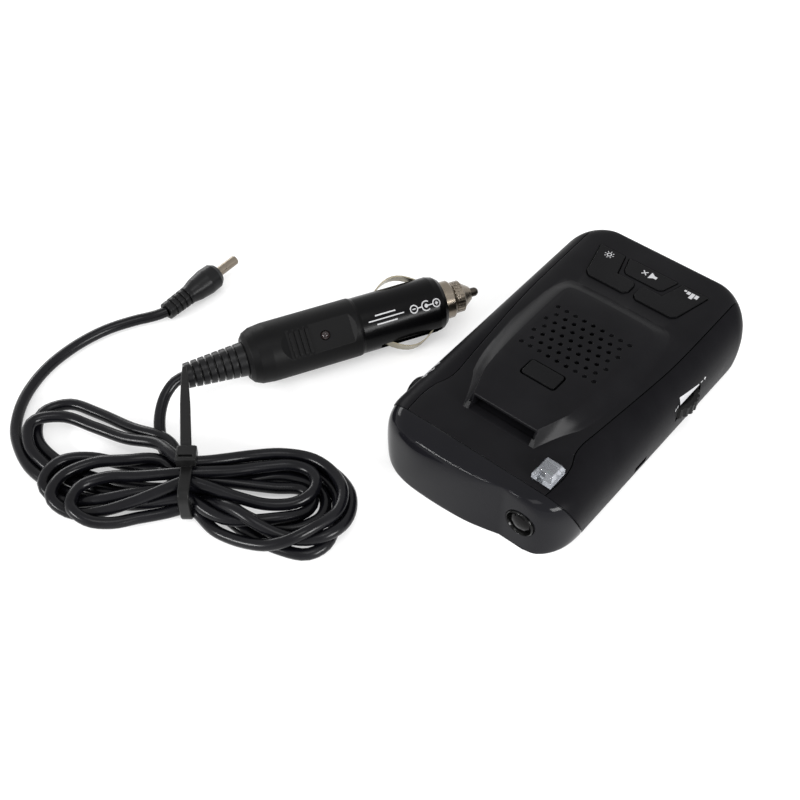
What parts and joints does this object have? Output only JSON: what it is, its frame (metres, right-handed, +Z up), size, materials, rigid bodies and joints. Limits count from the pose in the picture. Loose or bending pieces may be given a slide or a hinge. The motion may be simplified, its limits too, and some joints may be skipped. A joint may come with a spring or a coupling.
{
  "type": "radar detector",
  "caption": "Dash or windscreen radar detector with glossy nose, keys, speaker pad and bracket slot, with its lighter-socket power cord coiled beside it.",
  "frame": {"origin": "on the table under the middle of the detector, its power cord left out of the measure", "axes": "+Z up through the mounting pad, +Y towards the driver's end with the keys and display, -Y towards the road"},
  "size_m": [0.1871, 0.1976, 0.0291],
  "materials": {
    "case": "satin moulded black plastic, finely textured",
    "cover": "satin moulded black plastic, finely textured",
    "nose": "piano-black polished plastic",
    "bezel": "gloss black ring",
    "lens": "infrared-passing black polycarbonate dome",
    "clear": "clear polished acrylic",
    "window": "smoked deep red acrylic",
    "keycap": "satin black key with a white printed symbol",
    "wheel": "black ribbed wheel",
    "board": "green solder-masked glass-fibre board",
    "chip": "black epoxy packages",
    "zinc": "die-cast zinc",
    "steel": "zinc-plated steel",
    "cone": "pressed paper cone",
    "foam": "black foam ring",
    "plate": "silver printed label stock",
    "lamps": "red diffused lamp blocks",
    "grip": "semi-gloss black moulded plastic",
    "nickel": "nickel-plated brass",
    "spring_leaf": "nickel-washed spring bronze",
    "washer": "cream fibre washer",
    "tip": "worn dark steel tip",
    "fuse": "glass tube fuse with metal caps",
    "led": "red tinted lamp dome",
    "cord": "glossy black PVC cord",
    "boot": "black flexible PVC moulding",
    "tie": "black nylon"
  },
  "bodies": {
    "root": {"case_body": "case", "top_cover": "cover", "nose_cover": "nose", "lens_bezel": "bezel", "laser_lens": "lens", "sky_prism": "clear", "display_window": "window", "release_spring": "steel", "volume_pot": "chip", "dc_jack": "chip", "dc_jack_pin": "nickel", "main_board": "board", "board_chips": "chip", "horn_antenna": "zinc", "horn_lid": "zinc", "front_sensor": "board", "sky_sensor": "board", "speaker_frame": "steel", "speaker_cone": "cone", "speaker_magnet": "steel", "speaker_gasket": "foam", "key_board": "board", "key_switches": "chip", "display_board": "board", "display_lamps": "lamps", "case_screws": "steel", "board_screws": "steel", "rating_plate": "plate", "plug_shell_upper": "grip", "plug_shell_lower": "grip", "plug_collar": "nickel", "fuse_spring": "steel", "plug_led": "led", "plug_board": "board", "plug_screw": "steel", "plug_strain_relief": "boot", "cord_plug_lead": "cord", "cord_hank": "cord", "cord_jack_lead": "cord", "jack_plug_boot": "boot", "jack_plug_barrel": "nickel", "jack_plug_core": "chip", "cable_tie": "tie"},
    "key_left": {"key_left": "keycap"},
    "key_middle": {"key_middle": "keycap"},
    "key_right": {"key_right": "keycap"},
    "release_button": {"release_button": "keycap"},
    "volume_wheel": {"volume_wheel": "wheel"},
    "cap_carrier": {"fuse_washer": "washer"},
    "fuse_cap": {"fuse_cap": "nickel"},
    "contact_tip": {"contact_tip": "tip", "plug_fuse": "fuse"},
    "side_contact_left": {"side_contact_left": "spring_leaf"},
    "side_contact_right": {"side_contact_right": "spring_leaf"}
  },
  "joints": [
    {"name": "key_left_press", "type": "slide", "parent": "root", "child": "key_left", "axis": [0, 0, -1], "range_m": [0, 0.0005], "stiffness_N_per_m": 2500, "springref_m": -0.0002},
    {"name": "key_middle_press", "type": "slide", "parent": "root", "child": "key_middle", "axis": [0, 0, -1], "range_m": [0, 0.0005], "stiffness_N_per_m": 2500, "springref_m": -0.0002},
    {"name": "key_right_press", "type": "slide", "parent": "root", "child": "key_right", "axis": [0, 0, -1], "range_m": [0, 0.0005], "stiffness_N_per_m": 2500, "springref_m": -0.0002},
    {"name": "release_press", "type": "slide", "parent": "root", "child": "release_button", "axis": [0, 0, -1], "range_m": [0, 0.0018], "stiffness_N_per_m": 700, "springref_m": -0.002, "deforming": ["release_spring"]},
    {"name": "volume_turn", "type": "hinge", "parent": "root", "child": "volume_wheel", "pos_m": [0.0296, 0.017, 0.0125], "axis": [0, 0, 1], "range_deg": [-135, 135]},
    {"name": "fuse_cap_advance", "type": "slide", "parent": "root", "child": "cap_carrier", "axis": [0.4617, 0.887, 0], "range_m": [0, 0.0039]},
    {"name": "fuse_cap_turn", "type": "hinge", "parent": "cap_carrier", "child": "fuse_cap", "pos_m": [-0.05448, 0.00969, 0.0103], "axis": [0.4617, 0.887, 0], "range_deg": [0, 1440]},
    {"name": "contact_tip_press", "type": "slide", "parent": "root", "child": "contact_tip", "axis": [-0.4617, -0.887, 0], "range_m": [0, 0.003], "stiffness_N_per_m": 900, "springref_m": -0.003, "deforming": ["fuse_spring"]},
    {"name": "side_contact_left_press", "type": "slide", "parent": "root", "child": "side_contact_left", "axis": [0.7563, -0.3937, -0.5225], "range_m": [0, 0.002], "stiffness_N_per_m": 1800, "springref_m": -0.0005},
    {"name": "side_contact_right_press", "type": "slide", "parent": "root", "child": "side_contact_right", "axis": [-0.7563, 0.3937, 0.5225], "range_m": [0, 0.002], "stiffness_N_per_m": 1800, "springref_m": -0.0005}
  ],
  "couplings": [
    {"joint": "fuse_cap_turn", "follows": "fuse_cap_advance", "rad_per_m": 6283.2}
  ]
}
